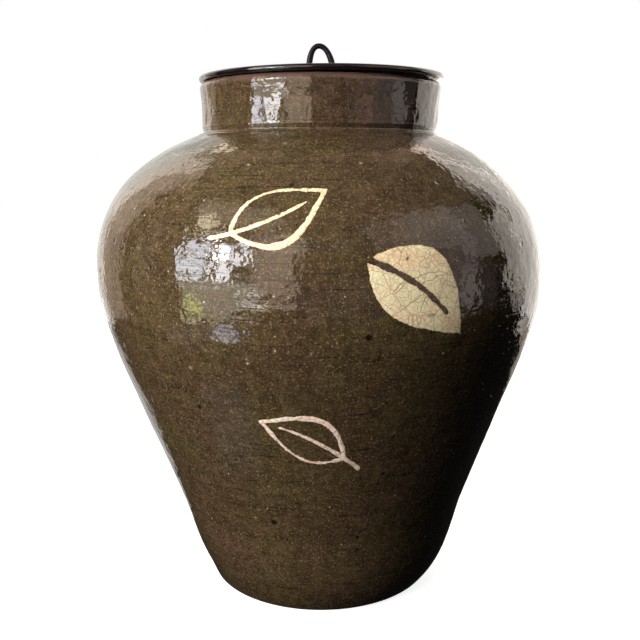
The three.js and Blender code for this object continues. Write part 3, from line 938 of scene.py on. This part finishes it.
# Panels as name, azimuth, elevation, distance, width, height, brightness and tint. The first only light the
# jar, and the others only show in its shine.
FILL_PANELS = (
    ("main_fill", -50, 16, 1.7, 0.9, 0.6, 24.5, "#f4f2ff"),
    ("high_fill", -40, 38, 1.8, 1.4, 1.0, 6.6, "#ffffff"),
    ("back_fill", 172, 22, 1.9, 1.4, 1.0, 7, "#fff6ea"),
    ("right_fill", 135, 16, 1.9, 0.8, 1.0, 3.0, "#fff6ea"),
)
MIRRORED_PANELS = (
    ("pane_left_upper", -60, 19.5, 1.7, 0.42, 0.26, 13, "#e8eaf8"),
    ("pane_left_lower", -60, 7.5, 1.7, 0.42, 0.34, 13, "#ecf0fc"),
    ("pane_right_upper", -46, 20, 1.7, 0.24, 0.34, 27, "#fbfaff"),
    ("pane_right_lower", -45, 6, 1.7, 0.25, 0.32, 16, "#fbfaff"),
    ("pane_right_outer", -37, 19, 1.7, 0.17, 0.4, 15, "#fbfaff"),
    ("pane_top", -61, 35.5, 1.7, 0.34, 0.28, 8, "#fff0cc"),
    ("pane_foot", -48, -6, 1.7, 1.2, 0.42, 2.8, "#f4eedc"),
    ("pane_green", -61, -11, 1.7, 0.18, 0.12, 6, "#e8f060"),
    ("pane_corner", -32, -6.5, 1.7, 0.24, 0.08, 9, "#ffffff"),
    ("pane_sill", -53, -15.5, 1.7, 0.8, 0.04, 9, "#f4efd0"),
    ("pane_blind", -50, 46, 1.7, 1.24, 0.46, 1.3, "#fff0e0"),
    ("warm_screen", -20, 13, 1.7, 0.65, 1.37, 2.5, "#ffe6d4"),
    ("near_strip", -50, -20, 0.5, 0.36, 0.08, 0.45, "#ece4ec"),
    ("near_gleam", -42, -38, 0.27, 0.09, 0.08, 0.22, "#e4e6f8"),
    ("near_sheet", -38, -18, 0.43, 0.09, 0.04, 5, "#dfe4fa"),
    ("ceiling", 0, 90, 1.2, 3.0, 3.0, 0.28, "#ffd7b2"),
    ("back_high", 180, 62, 1.6, 1.3, 0.45, 0.4, "#ffd7b2"),
    ("back_high_left", -160, 45, 1.6, 0.35, 0.2, 2.2, "#ffe0c4"),
    ("back_high_right", 157, 46, 1.6, 0.5, 0.24, 2.2, "#ffe0c4"),
    ("back_left_low", -156, -20, 1.6, 0.9, 0.6, 0.75, "#f4f4f2"),
    ("left_side", -90, 14, 1.6, 0.5, 1.2, 0.25, "#ffe9d8"),
    ("left_side_near", -117, 18, 1.6, 0.34, 2.1, 0.75, "#ffe6d4"),
    ("left_side_middle", -128, 18, 1.6, 0.3, 2.1, 0.75, "#ffe6d4"),
    ("left_side_far", -137, 18, 1.6, 0.22, 2.1, 1.8, "#f6ece4"),
    ("left_high", -130, 30, 1.6, 0.9, 1.1, 0.35, "#ffe6d4"),
    ("back_left_near", -147, 13, 1.6, 0.28, 1.6, 1.35, "#f4f4ec"),
    ("back_left_middle", -158, 16, 1.6, 0.34, 1.85, 1.05, "#f4f4ec"),
    ("back_left_far", -172, 16, 1.6, 0.46, 1.85, 0.76, "#f4f4f2"),
    ("back_right_low", 148, 1, 1.6, 1.85, 0.9, 2.05, "#f8f0e6"),
    ("back_right_foot", 148, -17.6, 1.6, 1.0, 0.14, 0.55, "#f4e4d0"),
    ("back_right_high", 160, 31, 1.6, 1.0, 0.85, 1.4, "#f8f0e6"),
    ("back_right_near", 133, 31, 1.6, 0.5, 0.85, 2.0, "#f8f0e6"),
    ("back_right_edge", 120, 28, 1.6, 0.3, 0.85, 1.0, "#f4e8dc"),
    ("right_side", 109, 10, 1.6, 0.5, 0.92, 2.0, "#f4e8dc"),
    ("right_side_low", 111, -8.6, 1.6, 0.28, 0.16, 1.1, "#f4e8dc"),
    ("right_side_foot", 125, -17, 1.6, 0.3, 0.12, 1.4, "#f4e8dc"),
    ("right_front", 56, 19, 1.8, 1.76, 2.0, 0.6, "#ecdce0"),
    ("right_front_far", 88, 24, 1.8, 0.77, 0.97, 0.85, "#ecdfd6"),
    ("right_front_high", 60, 35, 1.8, 0.98, 0.83, 0.6, "#ecdfd6"),
    ("right_low", 74, -2, 1.8, 0.34, 0.5, 0.9, "#ecdfda"),
    ("right_low_far", 87, -2, 1.8, 0.3, 0.5, 0.2, "#ecdfe4"),
    ("red_strip", 43, 9, 1.8, 0.17, 0.9, 2.2, "#a04a2a"),
    ("front_high", -4, 27, 1.5, 1.1, 0.37, 0.6, "#ecdcd0"),
    ("front_low", 10, -6, 1.5, 1.0, 0.4, 0.2, "#d8d0f0"),
)


def way(azimuth, elevation):
    """A direction: azimuth from the front, to the right, and elevation above the floor, in degrees."""
    a, e = math.radians(azimuth), math.radians(elevation)
    return Vector((math.sin(a) * math.cos(e), -math.cos(a) * math.cos(e), math.sin(e)))


def panel(name, azimuth, elevation, distance, width, height, brightness, tint):
    """A soft panel that faces the jar, as bright as stated wherever it is mirrored."""
    light = bpy.data.lights.new(name, "AREA")
    light.shape = "RECTANGLE"
    light.size, light.size_y = width, height
    light.energy = brightness * width * height * math.pi
    light.color = colour(tint)[:3]
    lamp = bpy.data.objects.new(name, light)
    bpy.context.scene.collection.objects.link(lamp)
    out = way(azimuth, elevation)
    lamp.location = PANELS_AIM + distance * out
    lamp.rotation_euler = out.to_track_quat("Z", "Y").to_euler()
    lamp.visible_camera = False
    return lamp


def paper_floor():
    """The paper that the jar stands on, which neither shows in its shine nor lights it."""
    square = ((-1, -1), (1, -1), (1, 1), (-1, 1))
    corners = [(FLOOR_REACH * x, FLOOR_REACH * y, -FLOOR_DROP) for x, y in square]
    floor = piece("paper_floor", corners, [(0, 1, 2, 3)], pale_paper())
    floor.visible_glossy = False
    floor.visible_diffuse = False
    return floor


def white_air():
    """A world that is white to the camera and hardly lights the jar."""
    world = bpy.data.worlds.new("studio")
    world.use_nodes = True
    tree = world.node_tree
    tree.nodes.clear()
    seen = put(tree, "ShaderNodeLightPath", out="Is Camera Ray")
    air = put(tree, "ShaderNodeMapRange", {"Value": seen, "To Min": AIR_LIGHT, "To Max": 1.0})
    glow = put(tree, "ShaderNodeBackground", {"Color": colour("#ffffff"), "Strength": air})
    put(tree, "ShaderNodeOutputWorld", {"Surface": glow})
    return world


for setting in FILL_PANELS:
    panel(*setting).visible_glossy = False
for setting in MIRRORED_PANELS:
    panel(*setting).visible_diffuse = False
bpy.context.scene.world = white_air()
paper_floor()

camera_data = bpy.data.cameras.new("camera")
camera_data.sensor_width = CAMERA_SENSOR
camera_data.lens = CAMERA_LENS
camera = bpy.data.objects.new("camera", camera_data)
bpy.context.scene.collection.objects.link(camera)
camera.location = CAMERA_PLACE
camera.rotation_euler = (math.radians(90 - CAMERA_DOWN), 0, 0)
bpy.context.scene.camera = camera
bpy.context.scene.view_settings.view_transform = "Standard"
